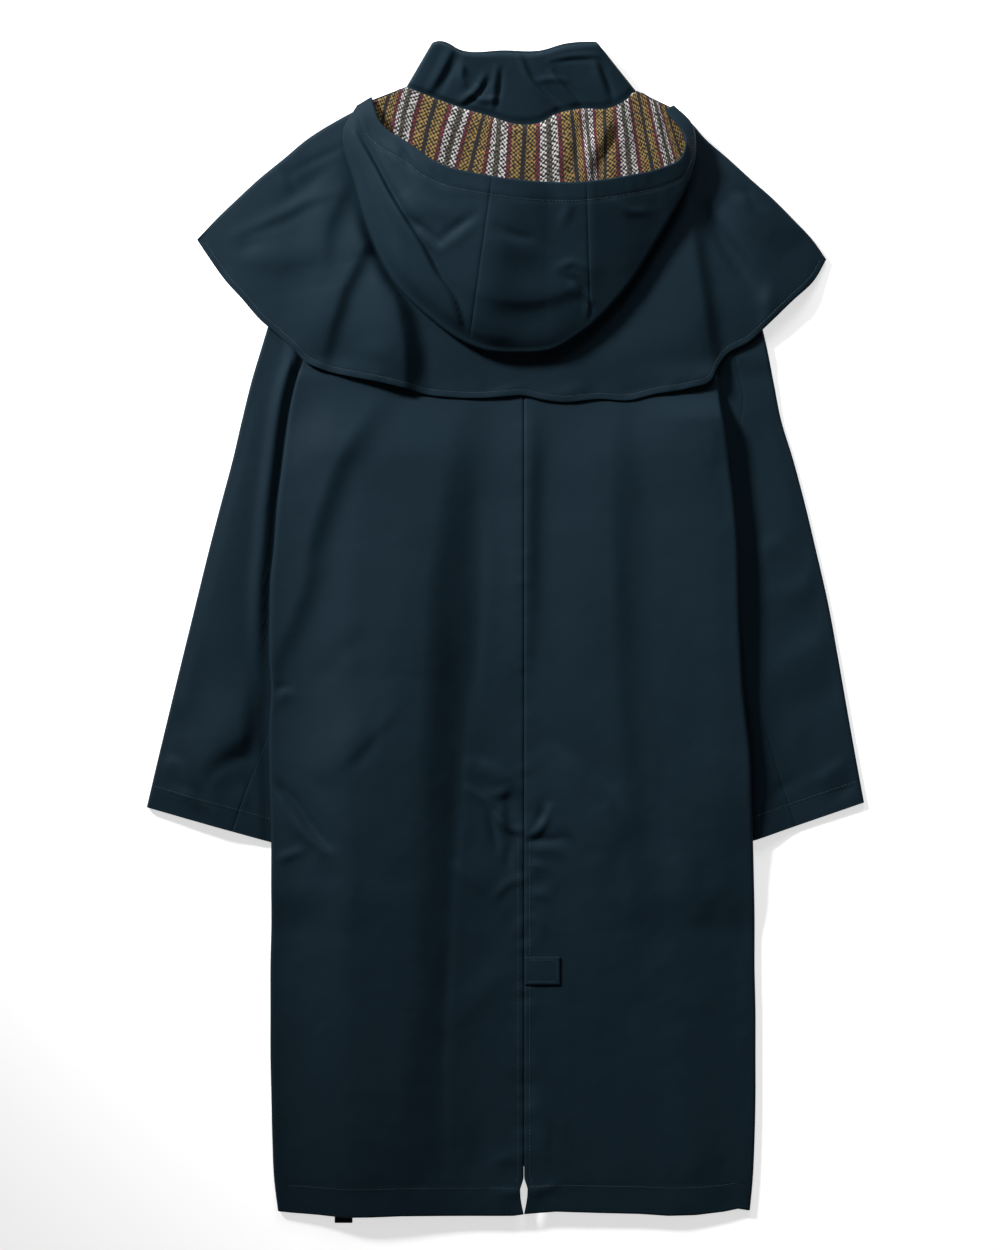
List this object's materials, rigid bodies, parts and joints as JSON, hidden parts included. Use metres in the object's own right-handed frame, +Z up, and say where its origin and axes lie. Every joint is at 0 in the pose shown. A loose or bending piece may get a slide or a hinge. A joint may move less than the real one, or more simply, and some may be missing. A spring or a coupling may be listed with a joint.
{
  "type": "hooded raincoat laid flat",
  "caption": "Long hooded raincoat with a shoulder cape, stand collar, two-piece sleeves and a back vent, laid flat and face down.",
  "frame": {"origin": "on the surface the coat lies on, under the centre of its bounding box", "axes": "+Z up, away from the surface; +Y from the hem to the collar; +X to the right, seen from above with the collar at the top"},
  "size_m": [0.7602, 1.2486, 0.0641],
  "materials": {
    "shell_cloth": "closely woven dark navy rain cloth with a soft sheen",
    "lining_cloth": "woven cotton lining with narrow upright stripes",
    "strap_cloth": "dark woven strap"
  },
  "bodies": {
    "root": {"back_left": "shell_cloth", "back_right": "shell_cloth", "front_left": "shell_cloth", "front_right": "shell_cloth", "sleeve_left_top": "shell_cloth", "sleeve_left_under": "shell_cloth", "sleeve_right_top": "shell_cloth", "sleeve_right_under": "shell_cloth", "cape_back": "shell_cloth", "cape_front_left": "shell_cloth", "cape_front_right": "shell_cloth", "hood_left": "shell_cloth", "hood_centre": "shell_cloth", "hood_right": "shell_cloth", "hood_lining": "lining_cloth", "collar": "shell_cloth", "vent_tab": "shell_cloth", "strap_end": "strap_cloth"}
  },
  "joints": []
}
